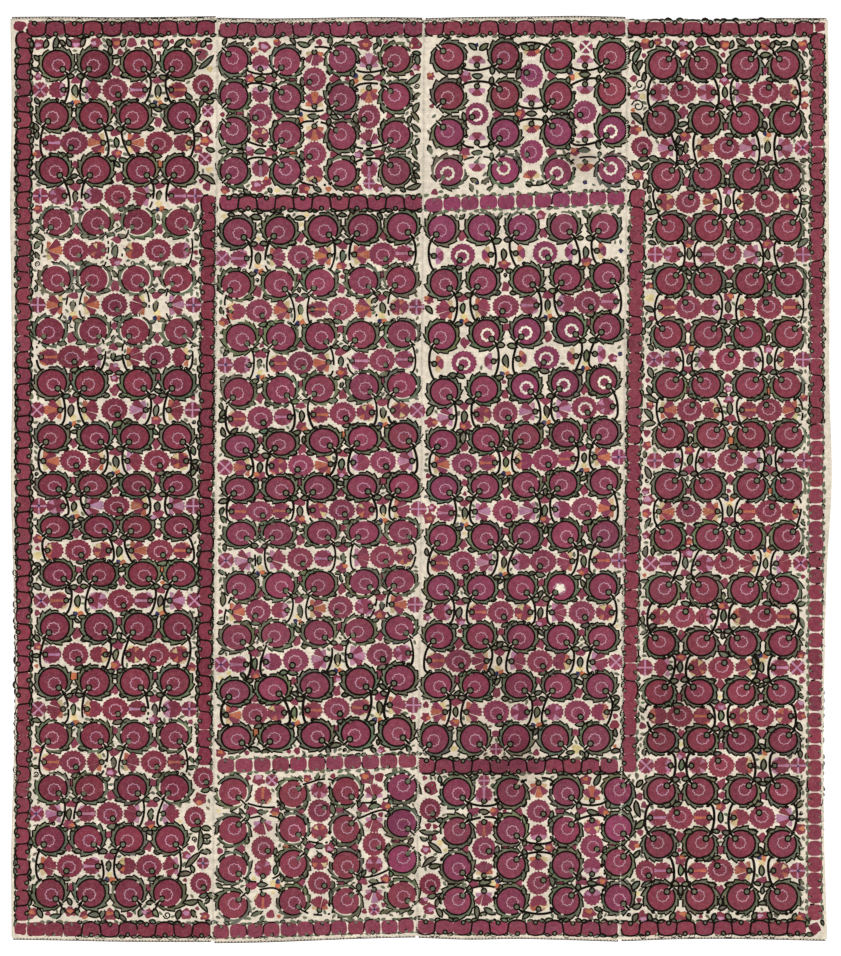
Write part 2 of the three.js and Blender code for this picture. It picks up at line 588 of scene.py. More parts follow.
def carnation(silk, at, wide, high, colour):
    """A ragged red head with a light petal on one side."""
    lozenge(silk, at, wide, high, 5, colour)
    light = at + chance.normal(0, 1.4, 2)
    tint = ORANGE if chance.random() < 0.6 else PINK
    lozenge(silk, light, wide * 0.55, high * 0.45, 3, tint, "accent", 0.0006)


def stripe(silk, at, way, length, width, colour):
    """A light band laid over a head."""
    path = at + np.outer(np.linspace(-length / 2, length / 2, 4), way)
    ribbon(silk["accent"], path, width * STRIPE_WAIST, STRIPE_LIFT, lot(colour), base=STRIPE_BASE)


def fan(silk, at, grow, side, colour, accents, style, wide, high=8.2):
    """A head on its vine's bud: a spray or bowl of petals, or a ball with light petals, a wedge or a band."""
    bud_way = 0.0 if side > 0 else math.pi
    accents = [tint + (colour - tint) * chance.uniform(0.1, 0.4) for tint in accents]
    shape = grow * ((wide / high,), (1.0,))
    if style == "spray":
        foot = at + grow[0] * side * wide * 0.8
        tints = (accents[0], colour, chance.choice((accents[0], colour)), colour, accents[1])
        for step, tint in zip((-2, -1, 0, 1, 2), tints):
            turn = step * 0.6 + chance.normal(0, 0.03)
            thread = "red" if np.allclose(tint, colour) else "accent"
            far = wide * 1.9 * math.cos(turn) ** 0.5 * chance.uniform(0.94, 1.04)
            petal(silk, thread, foot, bud_way + math.pi + turn, 0.3, far, tint, grow)
        mark(at[None], 7)
        return
    if style == "bowl":
        foot = at + grow[0] * side * 5.5
        for step, tint in ((-1.5, accents[0]), (-0.5, colour), (0.5, colour), (1.5, accents[1])):
            thread = "red" if tint is colour else "accent"
            petal(silk, thread, foot, bud_way + math.pi + step * 0.72, 0.36, high * 1.15, tint, grow)
        return
    for hand, tint in zip((-1, 1), accents):
        far = high * chance.uniform(1.05, 1.25)
        angle = bud_way + hand * chance.uniform(0.85, 1.15)
        petal(silk, "accent", at, angle, 0.45, far, tint, shape, UNDER_HEAD)
    across, along = high * np.abs(shape).sum(0)
    ball(silk, at, across, along * chance.uniform(0.92, 1.02), colour)
    if style == "petals":
        for hand, tint in zip((-1, 1), accents):
            angle = bud_way + math.pi + hand * chance.uniform(0.6, 1.3)
            far = high * chance.uniform(0.85, 1.05)
            petal(silk, "accent", at, angle, chance.uniform(0.3, 0.5), far, tint, shape, *ON_HEAD)
    elif style == "wedge":
        for hand in (-1, 1):
            angle = bud_way + hand * chance.uniform(0.5, 0.8)
            far = high * chance.uniform(0.85, 1.0)
            petal(silk, "accent", at, angle, 0.5, far, accents[hand > 0], shape, *ON_HEAD)
    else:
        stripe(silk, at, grow[0], wide * 1.8, 3.6, accents[0])


def rosette(silk, at, size, colour, accent):
    """A round head quartered by two light bands."""
    ball(silk, at, size, size, colour)
    turn = chance.choice((0.0, 0.0, math.pi / 4))
    for step in (0, 1):
        way = oval(np.array((turn + step * math.pi / 2,)), 1, 1)[0]
        stripe(silk, at, way, size * 2, 2.3, accent)
    if chance.random() < 0.4:
        lozenge(silk, at, 1.5, 1.5, 4, INDIGO, "accent", base=0.001)


def big_flower(silk, at, grow, side, colour, wide=12.0, high=11.6, pale_eye=False):
    """A scalloped flower with its own bud, stem and two leaves."""
    lobes = 21
    turns = np.arange(4 * lobes) * TURN / (4 * lobes)
    depth = np.repeat(chance.uniform(0.05, 0.12, lobes), 4)
    edge = wavering(turns, 0.025) - 0.03 + depth * np.abs(np.sin(turns * lobes / 2))
    outline = at + oval(turns, wide, high) * edge[:, None] @ grow
    patch(silk["red"], outline, FLOWER_LIFT, lot(colour), FULL_CROWN, reach=2)
    stem = math.atan2(0.85, side * 0.5)
    seat = oval(np.array((stem,)), wide, high)
    round_eye = stem + np.linspace(0.5, TURN - 0.5, 37)
    scallop = 0.93 + 0.2 * np.abs(np.sin((round_eye - stem) * 4.5))
    line = seat * 0.1 + oval(round_eye, wide * 0.46, high * 0.46) * scallop[:, None]
    tint, thick = (BARE, 2.4) if pale_eye else (SHELL, 1.2)
    ribbon(silk["accent"], at + line @ grow, thick, 0.0013, lot(tint, 0.06), base=0.0009)
    bud(silk, (at + seat @ grow * 0.5)[0], 2.3, 0.001)
    dark_line(silk, at + np.linspace(0.7, 1.25, 5)[:, None] * (seat @ grow), 1.6, 0.0014)
    foot = (at + seat @ grow * 1.2)[0]
    for hand in (1, -1):
        leaf(silk, foot, grow[0] * hand + grow[1] * 0.25, 9.5, 4.9)


def vine(silk, start, end, grow, side, bulge=14.0):
    """A stem that leaves one disc, bows out to its side and reaches the next."""
    drift, run = grow @ (end - start)
    bow = bulge + chance.normal(0, 0.6)
    points = (
        (side * 9.5, 9.8),
        (side * (bow - 1.5), 0.31 * run),
        (side * bow + drift * 0.5, 0.5 * run),
        (side * (bow - 1) + drift, 0.68 * run),
        (side * 9.5 + drift, run - 11.5),
    )
    dark_line(silk, start + through(points, 15) @ grow, VINE_WIDTH, VINE_LIFT)
    budding = start + np.array((side * (bow - 5.0) + drift / 2, run * 0.5)) @ grow
    waist = start + np.array((side * bow + drift / 2, run * 0.44)) @ grow
    dark_line(silk, through((waist, (waist + budding) / 2 + grow[1] * 0.8, budding), 6), 1.5, 0.0019)
    bud(silk, budding, 2.0, 0.0011)


def pair_span(silk, top, foot, grow, sparse):
    """What fills the span between two vines that lean together."""
    run = foot - top
    if not sparse:
        lozenge(silk, top + run * 0.31, 5.6, 3.8, 3, ROSE)
    for hand in (1, -1):
        leaf(silk, top + run * 0.23 + grow[0] * hand * 1.2, grow[0] * hand + grow[1] * 0.1, 8.5, 4.6)
    leaf(silk, top + run * 0.4, grow[1], min(12.0, 0.24 * np.linalg.norm(run)), 5.2)
    low, pick = top + run * 0.7, chance.random()
    if pick < 0.35:
        lozenge(silk, low - grow[1] * 2.5, 3.2, 3.2, 4, YELLOW, "accent")
        lozenge(silk, low + grow[1] * 2.5 - grow[0] * 2.2, 2.5, 2.7, 3, INDIGO, "accent")
        lozenge(silk, low + grow[1] * 2.5 + grow[0] * 2.3, 3.0, 3.0, 3, ORANGE, "accent")
    else:
        carnation(silk, low, 5.2, 4.8, ROSE)
    for hand in (1, -1):
        leaf(silk, top + run * 0.8 + grow[0] * hand * 1.2, grow[0] * hand + grow[1] * 0.1, 8.0, 4.2)


def open_span(silk, top, foot, grow, colour, spacing, sparse):
    """What fills the span between two vines that lean apart."""
    run = foot - top
    length = np.linalg.norm(run)
    scale = min(1.0, length / 50)
    side = 1 if chance.random() < 0.7 else -1
    colour = MAGENTA if sparse else colour
    pale = within((top + foot) / 2, PALE_FLOWERS)
    wide = spacing * (0.3 if sparse else 0.315)
    big_flower(silk, (top + foot) / 2, grow, side, colour, wide, 11.4 * scale, pale)
    lozenge(silk, top + run * 0.13, 4.2, 5.2 * scale, 4, ROSE)
    if sparse:
        return
    for hand in (1, -1):
        leaf(silk, top + run * 0.24 + grow[0] * hand * 4.5, grow[0] * hand - grow[1] * 0.1, 9.0, 4.8)
    lozenge(silk, top + run * 0.9, 4.2, 3.8, 4, ORANGE if chance.random() < 0.06 else ROSE)


# areas of the chart where the maker left cloth bare between the motifs
PALE_FLOWERS = ((465, 100, 490, 125), (424, 240, 626, 275), (424, 345, 626, 380), (560, 395, 626, 420))
SPARSE = ((424, 38, 627, 192), (424, 240, 626, 275), (424, 345, 626, 380))


def within(at, areas):
    return any(x0 < at[0] < x1 and y0 < at[1] < y1 for x0, y0, x1, y1 in areas)


def lean(kind, column):
    """To which side a column's vine bows, in the two kinds of gap that take turns."""
    return 1 if (column + kind) % 2 == 0 else -1


FAN_STYLES = ("spray", "spray", "petals", "wedge", "stripe")


def gap(silk, upper, lower, grow, kind, colour):
    """Everything between two neighbouring rows."""
    columns = len(upper)
    spacing = np.linalg.norm(upper[-1] - upper[0]) / (columns - 1)
    sparse = within((upper[0] + lower[-1]) / 2, SPARSE)
    for column in range(columns):
        side = lean(kind, column)
        vine(silk, upper[column], lower[column], grow, side)
        at = (upper[column] + lower[column]) / 2 + grow[0] * side * 2.4
        tints = (ORANGE, YELLOW) if (kind == 1) == (chance.random() < 0.75) else (PINK, PINK)
        style = "bowl" if sparse else chance.choice(FAN_STYLES)
        fan(silk, at, grow, side, colour, tints, style, spacing * 0.225)
        if column + 1 < columns:
            top = (upper[column] + upper[column + 1]) / 2
            foot = (lower[column] + lower[column + 1]) / 2
            if side > 0:
                pair_span(silk, top, foot, grow, sparse)
            else:
                open_span(silk, top, foot, grow, colour, spacing, sparse)
    for column, out in ((0, -1), (columns - 1, 1)):
        if lean(kind, column) != out:
            beside = abs(grow[0][0]) > 0
            at = (upper[column] + lower[column]) / 2 + grow[0] * out * (15.0 if beside else 11.5)
            if sparse:
                lozenge(silk, at, 2.2, 2.2, 4, INDIGO, "accent")
            elif is_free(at, 4):
                rosette(silk, at, 7.6 if beside else 5.6, colour, PINK)


def end_strip(silk, row, grow, way, kind):
    """Heads between leaves beyond an outer row. Beyond the last row the stems run out to them."""
    between_discs = [(a + b) / 2 for a, b in zip(row, row[1:])]
    for place in (row[0] - grow[0] * 18, *between_discs, row[-1] + grow[0] * 18):
        head = place + grow[1] * way * chance.uniform(19, 21)
        carnation(silk, head, 6.0, 5.2, BRICK)
        for hand in (1, -1):
            side = grow[0] * hand
            leaf(silk, head + side * 5.5 - grow[1] * way * 4, side * 0.45 + grow[1] * way, 9.0, 4.8)
    for column, at in enumerate(row):
        side = lean(kind, column)
        if way > 0:
            points = ((side * 9.5, 9.8), (side * 13.5, 16.5), (side * 20, 20.5))
            dark_line(silk, at + through(points, 8) @ grow, 2.0)


def field(silk, rows, grow, first_kind, wide, colour_of, strips=False):
    """Rows of roundels in the order in which their stems grow, with the gaps between them."""
    grow = FRAMES[grow]
    rows = np.asarray(rows, float)
    pitch = np.abs(np.diff(rows, axis=0) @ grow[1])
    for index, row in enumerate(rows):
        kind = (first_kind + index) % 2
        for column, at in enumerate(row):
            near = pitch[max(0, index - 1) : index + 1, column].min()
            high = float(np.clip(DISC_PER_PITCH * near, *DISC_HIGH))
            colour, pale = colour_of(at)
            roundel(silk, at, grow, lean(kind, column), lean(kind + 1, column), wide, high, colour, pale)
        if index + 1 < len(rows):
            gap(silk, row, rows[index + 1], grow, kind, colour_of(row[0])[0])
    if strips:
        end_strip(silk, rows[0], grow, -1, first_kind)
        end_strip(silk, rows[-1], grow, 1, first_kind + len(rows) - 1)


print("motifs between rows ready")

# %% [markdown]
# The chart. Outer widths hold seventeen rows of four, one growing down and the other up. The two middle
# widths hold eleven rows of five, and square ends whose rows grow sideways. Every row was drawn by eye on
# the real cloth, so the chart keeps its small drifts instead of an even grid.

# %% Charted rows
def level_rows(*rows):
    """Rows written as a height, or heights at both ends, and the columns."""
    table = []
    for height, *columns in rows:
        first, last = height if isinstance(height, tuple) else (height, height)
        share = (np.array(columns) - columns[0]) / (columns[-1] - columns[0])
        table.append(np.stack((columns, first + (last - first) * share), 1))
    return np.array(table, float)


def upright_rows(*rows):
    """Rows that stand on end, written as a place across and the heights."""
    return np.array([[(across, height) for height in heights] for across, *heights in rows], float)


left_rows = level_rows(
    (64, 57, 95, 138, 178), (116, 54, 94, 134, 182), (170, 54, 96, 141, 180), (222, 57, 96, 138, 180),
    (279, 56, 94, 136, 178), (331, 50, 93, 135, 179), (383, 52, 90, 138, 178), (437, 52, 95, 135, 177),
    (485, 53, 93, 137, 178), (527, 55, 99, 137, 179), (574, 58, 101, 143, 181), (627, 55, 99, 139, 178),
    (682, 53, 95, 135, 175), (736, 54, 95, 135, 174), (788, 53, 90, 132, 174), (839, 50, 88, 129, 170),
    (893, 50, 91, 129, 168),
)
right_rows = level_rows(
    (65, 663, 703, 745, 785), (120, 661, 706, 745, 787), (176, 666, 707, 747, 787), (228, 670, 709, 748, 787),
    (281, 670, 708, 750, 789), (334, 668, 708, 748, 789), (385, 670, 706, 750, 787), (435, 670, 711, 751, 789),
    (486, 669, 708, 751, 789), (537, 668, 710, 748, 787), (590, 663, 704, 745, 784), (643, 661, 701, 743, 783),
    (692, 659, 699, 741, 781), (740, 661, 701, 741, 783), (791, 661, 700, 743, 783), (844, 659, 700, 741, 782),
    (897, 661, 700, 741, 783),
)
centre_left_rows = level_rows(
    ((232, 227), 238, 280, 323, 363, 402), ((285, 280), 236, 279, 320, 363, 401),
    ((338, 334), 241, 281, 320, 361, 402), ((392, 385), 239, 281, 320, 364, 402),
    ((446, 436), 240, 281, 324, 363, 403), ((489, 486), 240, 280, 319, 362, 404),
    ((534, 532), 241, 278, 322, 364, 403), ((587, 581), 241, 280, 320, 364, 400),
    ((637, 628), 237, 276, 319, 359, 400), ((692, 678), 235, 273, 315, 360, 400),
    ((738, 732), 236, 276, 316, 356, 397),
)
centre_right_rows = level_rows(
    ((229, 226), 442, 482, 522, 564, 604), ((283, 276), 444, 483, 527, 567, 607),
    ((336, 327), 442, 486, 527, 570, 607), ((392, 381), 444, 484, 525, 565, 603),
    ((442, 432), 443, 486, 526, 566, 604), ((488, 482), 444, 485, 526, 563, 604),
    ((538, 534), 443, 485, 526, 565, 605), ((588, 587), 441, 481, 521, 561, 603),
    ((636, 638), 439, 480, 521, 561, 602), ((685, 686), 438, 476, 519, 558, 600),
    ((739, 738), 435, 474, 516, 555, 596),
)
top_left_rows = upright_rows(
    (234, 60, 96, 131, 171), (287, 62, 98, 135, 171), (342, 59, 98, 136, 173), (396, 59, 97, 135, 171)
)
top_right_rows = upright_rows(
    (449, 57, 96, 133, 172), (505, 56, 95, 133, 170), (558, 56, 96, 132, 172), (612, 56, 91, 130, 170)
)
foot_left_rows = upright_rows(
    (233, 792, 830, 868, 905), (293, 794, 829, 864, 901), (346, 791, 829, 865, 901), (402, 787, 823, 859, 895)
)
foot_right_rows = upright_rows(
    (457, 792, 831, 867, 901), (511, 792, 830, 865, 901), (566, 792, 830, 865, 901), (618, 791, 828, 862, 898)
)
PALE_EYES = ((424, 155, 628, 190), (600, 118, 628, 140), (470, 315, 600, 345), (505, 365, 626, 400))
RED_AREAS = ((424, 38, 628, 112), (214, 780, 385, 920), (385, 885, 416, 920))
MAGENTA_AREAS = ((385, 775, 416, 885), (424, 115, 628, 200), (500, 315, 600, 400), (424, 216, 545, 240))


def outer_red(at):
    return MADDER if at[0] < 420 else BRICK, False


def middle_red(at):
    """The middle widths lean to rose, and to magenta in the top of the right one."""
    if within(at, RED_AREAS):
        return BRICK, False
    share = 1.0 if within(at, MAGENTA_AREAS) else chance.uniform(0, 0.6 if at[0] > 424 else 0.35)
    return ROSE + (MAGENTA - ROSE) * share, within(at, PALE_EYES)


left, centre_left, centre_right, right = (silks[name] for name in WIDTHS)
for silk, at in (
    (left, (203, 85)), (left, (195, 817)), (left, (201, 883)), (left, (203.6, 777.6)),
    (right, (642, 147)), (right, (646, 871)), (centre_right, (430, 809)), (centre_right, (430, 884)),
):
    big_flower(silk, np.array(at, float), FRAMES["down"], 1, MADDER, 10.5, 10.5)
rosette(centre_right, np.array((586.0, 47.0)), 6.4, MAGENTA, BARE)
for x, y in ((531, 50), (478, 50), (535, 186), (480, 184)):
    for hand in (1, -1):
        leaf(centre_right, np.array((x + hand * 1.5, y)), (hand, -0.8), 10.0, 5.0)
field(left, left_rows, "down", 0, 13.8, outer_red, True)
field(right, right_rows[::-1], "up", 0, 13.5, outer_red, True)
field(centre_left, centre_left_rows, "down", 0, 14.0, middle_red)
field(centre_right, centre_right_rows, "down", 1, 13.1, middle_red)
field(centre_left, top_left_rows[::-1], "left", 0, 13.2, middle_red)
field(centre_right, top_right_rows[::-1], "left", 0, 13.2, middle_red)
field(centre_left, foot_left_rows, "right", 0, 13.2, middle_red)
field(centre_right, foot_right_rows, "right", 0, 13.2, middle_red)
lozenge(centre_right, np.array((560.0, 588.0)), 5.2, 5.0, 5, BARE, "accent", 0.0014)
print("stitched so far:", sum(work.count for silk in silks.values() for work in silk.values()), "points")

# %% [markdown]
# A chain border runs round the whole cloth and again round the middle field. Each link is a rounded red
# block. One dark stem weaves along the chain, over one link and under the next, and a green bud sits in
# each link on the side that the stem leaves open, with a pair of small leaves at every crossing.

# %% Chain borders
LINK_LIFT = 0.001
LINK_STEM_LIFT = 0.0013
SQUARE_LINKS = 0.6  # from this squareness on the links stand apart
STEM_STEPS = np.array((0.0, 0.04, 0.12, 0.26, 0.42, 0.58, 0.74, 0.88, 0.96))


def chain(silk, start, end, links, colour, across=14.6, squareness=0.52):
    """A border from one chart place to another."""
    start, end = np.array(start, float), np.array(end, float)
    pitch = np.linalg.norm(end - start) / links
    along = (end - start) / (pitch * links)
    grow = np.array((along, (-along[1], along[0])))
    turns = np.arange(20) * TURN / 20
    block = np.sign(oval(turns, 1, 1)) * np.abs(oval(turns, 1, 1)) ** squareness
    stem = []
    for link in range(links):
        over = 1 if link % 2 == 0 else -1
        at = start + along * pitch * (link + 0.5) + chance.normal(0, 0.25, 2)
        long = pitch * 0.5 + 0.1 if squareness < SQUARE_LINKS else pitch * 0.485
        half = np.array((long, across / 2)) * chance.uniform(0.97, 1.03, 2)
        outline = block * half * wavering(turns, 0.03)[:, None]
        patch(silk["red"], at + outline @ grow, LINK_LIFT, lot(colour), SOFT_CROWN, reach=2)
        seat = at + np.array((chance.normal(0, 0.6), -over * across * 0.36)) @ grow
        bud(silk, seat, 1.5, LINK_LIFT - 0.0001)
        foot = at + np.array((-pitch * 0.42, -over * across * 0.5)) @ grow
        bend = (seat + foot) / 2 - grow[1] * over * 1.6
        dark_line(silk, through((seat, bend, foot), 6), 1.4, LINK_STEM_LIFT)
        share = STEM_STEPS
        lift = over * np.sin(math.pi * share) ** 0.26
        stem.append(start + np.stack(((link + share) * pitch, lift * (across / 2 + 0.4)), 1) @ grow)
        for hand in (1, -1):
            for way in (1, -1):
                base = start + np.array(((link + 1) * pitch, hand * (across / 2 - 0.7))) @ grow
                leaf(silk, base, along * way + grow[1] * hand * 0.24, 6.4, 3.5, chance.random() < 0.7)
    dark_line(silk, np.concatenate(stem), 2.1, LINK_STEM_LIFT)


# width, start, end, number of links, dye, and where needed how wide and how square the links are
BORDERS = (
    (left, (27, 29), (215.5, 28), 10, MADDER),
    (centre_left, (219, 30), (422.5, 28.7), 11, ROSE),
    (centre_right, (425, 28.5), (626, 28.2), 11, BRICK),
    (right, (627.5, 27.5), (813, 29), 10, BRICK),
    (left, (27, 929), (211, 930), 10, MADDER),
    (centre_left, (213, 931.5), (414.5, 925.5), 12, ROSE, 14.6, 0.62),
    (centre_right, (416.5, 927), (618, 928.5), 11, ROSE),
    (right, (621, 928.3), (806, 927.7), 10, BRICK),
    (left, (24.0, 32), (23.6, 720), 43, BRICK, 14.8),
    (left, (23.6, 720), (22.0, 921), 13, BRICK, 13.8),
    (right, (817.5, 33), (816.2, 424), 24, BRICK, 13.4),
    (right, (816.2, 424), (814.3, 920), 31, BRICK, 15.0, 0.72),
    (left, (208.6, 195), (204.2, 765), 32, MADDER, 14.0),
    (right, (637.5, 189), (629, 772), 32, BRICK),
    (centre_left, (220, 203.5), (422.7, 203), 11, ROSE),
    (centre_right, (424.5, 205), (625, 197.6), 11, MAGENTA, 14.6, 0.72),
    (centre_left, (217, 766), (416, 760.7), 11, ROSE, 14.6, 0.66),
    (centre_right, (417, 766), (618, 766), 11, ROSE),
)
for border in BORDERS:
    chain(*border)
CORNERS = ((left, (20, 25.5)), (left, (20.5, 928.8)), (right, (819.5, 26.5)), (right, (813.5, 928)))
for silk, at in CORNERS:
    lozenge(silk, np.array(at), 6.0, 6.0, 4, MADDER)
print("borders:", len(BORDERS))

# %% [markdown]
# The maker left no cloth empty. Whatever span is still free gets a leaf, a lozenge, a curl or a bit of
# yellow, the largest spans first. A grid of the chart notes what is taken, and rubbing its edges away step
# by step tells how deep each free span is. A few areas stay bare, where the silk has gone.

# %% Fillers
RIDGE_STEP = 0.005
BARE_AREAS = (
    (424, 38, 627, 192), (424, 216, 626, 400), (250, 796, 292, 830),
    (352, 800, 376, 830), (118, 296, 200, 330),
)
FRAME_INSIDE = (30, 34, 812, 922)


def free_depth(steps=8):
    """How many squares each free place lies from the nearest stitching."""
    free = ~taken
    free[: FRAME_INSIDE[1]] = free[FRAME_INSIDE[3] :] = False
    free[:, : FRAME_INSIDE[0]] = free[:, FRAME_INSIDE[2] :] = False
    depth = free.astype(int)
    for _ in range(steps):
        upright = np.roll(free, 1, 0) & np.roll(free, -1, 0)
        free = free & upright & np.roll(free, 1, 1) & np.roll(free, -1, 1)
        depth += free
    return depth


def fill(silk, at, room):
    """One small motif for a free place with room squares round it."""
    pick = chance.random()
    angle = chance.uniform(0, TURN)
    way = np.array((math.cos(angle), math.sin(angle)))
    if room >= 5 and pick < 0.1:
        rosette(silk, at, min(room + 0.5, 6.5), MADDER, PINK)
    elif room >= 3 and pick < 0.34:
        carnation(silk, at, min(room + 0.8, 6.4), min(room + 0.5, 5.6), BRICK)
    elif pick < 0.74 or room < 2:
        leaf(silk, at - way * (1.25 * room + 0.9), way, 2.5 * room + 2.2, min(5.0, room + 1.5), room > 1.6)
    elif pick < 0.88:
        lozenge(silk, at, room, room, 3, MADDER if pick < 0.8 else ROSE)
    elif pick < 0.95:
        lozenge(silk, at, room * 0.9, room * 0.8, 3, YELLOW if pick < 0.935 else ORANGE, "accent")
    else:
        curl(silk, at, way, room * 0.9, 1 if angle > math.pi else -1)


def squares(points):
    """Metres on the cloth as chart squares."""
    return np.asarray(points, float) / (SQUARE, -SQUARE) + CHART_MIDDLE


def seam_between(first, second):
    """The seam's line in chart squares, from the top end to the bottom end."""
    here, there = edges_of(f"panel_{first}")["right"], edges_of(f"panel_{second}")["left"]
    y = np.arange(here[-1, 1], here[0, 1], -RIDGE_STEP)
    return squares(np.stack(((side_x(here, y) + side_x(there, y)) / 2, y), 1))


def width_at(at):
    """The loom width that a chart place lies on."""
    seams = (217.5 - 0.0045 * at[1], 424 - 0.0073 * at[1], 627 - 0.0073 * at[1])
    return silks[WIDTHS[sum(at[0] > seam for seam in seams)]]


seams = {first: seam_between(first, second) for first, second in zip(WIDTHS, WIDTHS[1:])}
for line in seams.values():
    mark(line, 3)
filled = 0
for room in (8, 7, 6, 5, 4, 3, 2):
    depth = free_depth()
    spots = np.argwhere(depth >= room)
    for y, x in spots[chance.permutation(len(spots))]:
        left_bare = within((x, y), BARE_AREAS) and chance.random() > 0.008
        if not left_bare and is_free((x, y), max(1, room - 2)):
            fill(width_at((x, y)), np.array((x, y), float), room - 0.6)
            filled += 1
print("fillers:", filled)

# %% [markdown]
# The widths were stitched apart and joined last, so the joining shows: a low ridge of pale thread over each
# seam, whipped across with short stitches. It runs over the borders and over the last roundels.

# %% Joining stitches
WHIP_STEP = 0.0062


def join(work, line):
    sway = np.stack((chance.normal(0, 0.12, len(line)), np.zeros(len(line))), 1)
    ribbon(work, line + sway, 2.0, 0.0008, BARE * 0.8, base=-0.0003)
    for y in np.arange(line[0, 1] + 1, line[-1, 1] - 1, WHIP_STEP / SQUARE):
        x = np.interp(y, line[:, 1], line[:, 0]) + chance.normal(0, 0.12)
        reach = chance.uniform(0.9, 1.3)
        slant = chance.uniform(0.3, 0.8)
        bar = np.array(((x - reach, y + slant), (x, y), (x + reach, y - slant)))
        ribbon(work, bar, 0.75, 0.001, lot(BARE * 0.82, 0.06), base=0.0004)


joins = {}
for first, line in seams.items():
    joins[first] = Threadwork()
    join(joins[first], line)
print("joining stitches:", sum(work.count for work in joins.values()), "points")

# %% [markdown]
# A narrow dark braid edges both ends. From close by it is a cord with teeth that point into the cloth, with
# cream thread showing between them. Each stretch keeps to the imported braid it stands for: a flat rounded
# cord swept along its middle line, with the teeth laid over it.

# %% End braids
BRAID_HALF = 0.0024
TOOTH_STEP = 0.0086
TOOTH_LONG = 0.0052
TOOTH_LIFT = 0.0012
TEETH_LEFT = 0.95
CORD_LOW, CORD_HIGH = -0.0009, 0.0005


def braid_line(node):
    """The middle line of a packed braid, from left to right."""
    co = np.array([v.co[:2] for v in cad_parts[node].data.vertices])
    co = co[np.argsort(co[:, 0])]
    steps = np.split(co, np.flatnonzero(np.diff(co[:, 0]) > 0.005) + 1)
    return np.array([(step.min(0) + step.max(0)) / 2 for step in steps])


def end_braid(node, inward):
    """The cord and teeth of one stretch. inward is 1 at the top end and -1 at the bottom end."""
    work = Threadwork()
    rough = braid_line(node)
    x = np.linspace(rough[0, 0], rough[-1, 0], 90)
    line = squares(np.stack((x, np.interp(x, rough[:, 0], rough[:, 1])), 1))
    wide = 2 * BRAID_HALF / SQUARE
    ribbon(work, line, wide, CORD_HIGH, BARE * 0.8, base=CORD_LOW)
    rim = line + (0, inward * -0.55)
    ribbon(work, rim, 0.75, CORD_HIGH + 0.0005, IRON, base=CORD_LOW + 0.0006)
    for tooth_x in np.arange(line[0, 0] + 0.8, line[-1, 0] - 0.8, TOOTH_STEP / SQUARE):
        at = np.array((tooth_x + chance.normal(0, 0.12), np.interp(tooth_x, line[:, 0], line[:, 1])))
        half, deep = chance.uniform(0.65, 0.95), TOOTH_LONG / SQUARE * chance.uniform(0.7, 1.05)
        waist = half * 0.75
        tooth = np.array(((-half, -0.8), (half, -0.8), (waist, 0.2), (0, deep - 0.8), (-waist, 0.2)))
        if chance.random() < TEETH_LEFT:
            black = IRON * chance.uniform(0.7, 2.2)
            patch(work, at + tooth * (1, inward), TOOTH_LIFT, black, LOW_CROWN, ON_CLOTH)
    return work


braids = {}
for name in WIDTHS:
    for end, inward in (("top", 1), ("bottom", -1)):
        node = f"braid_{end}_{name}"
        braids[node] = end_braid(node, inward)
print("end braids:", len(braids))

# %% [markdown]
# Now the gathered arrays become meshes. Heights follow the cockles of the cloth, faces are turned so that
# all look up, and each corner keeps its place in the stitch rows. A second map, laid flat in two halves,
# is only for the file that other programs read.

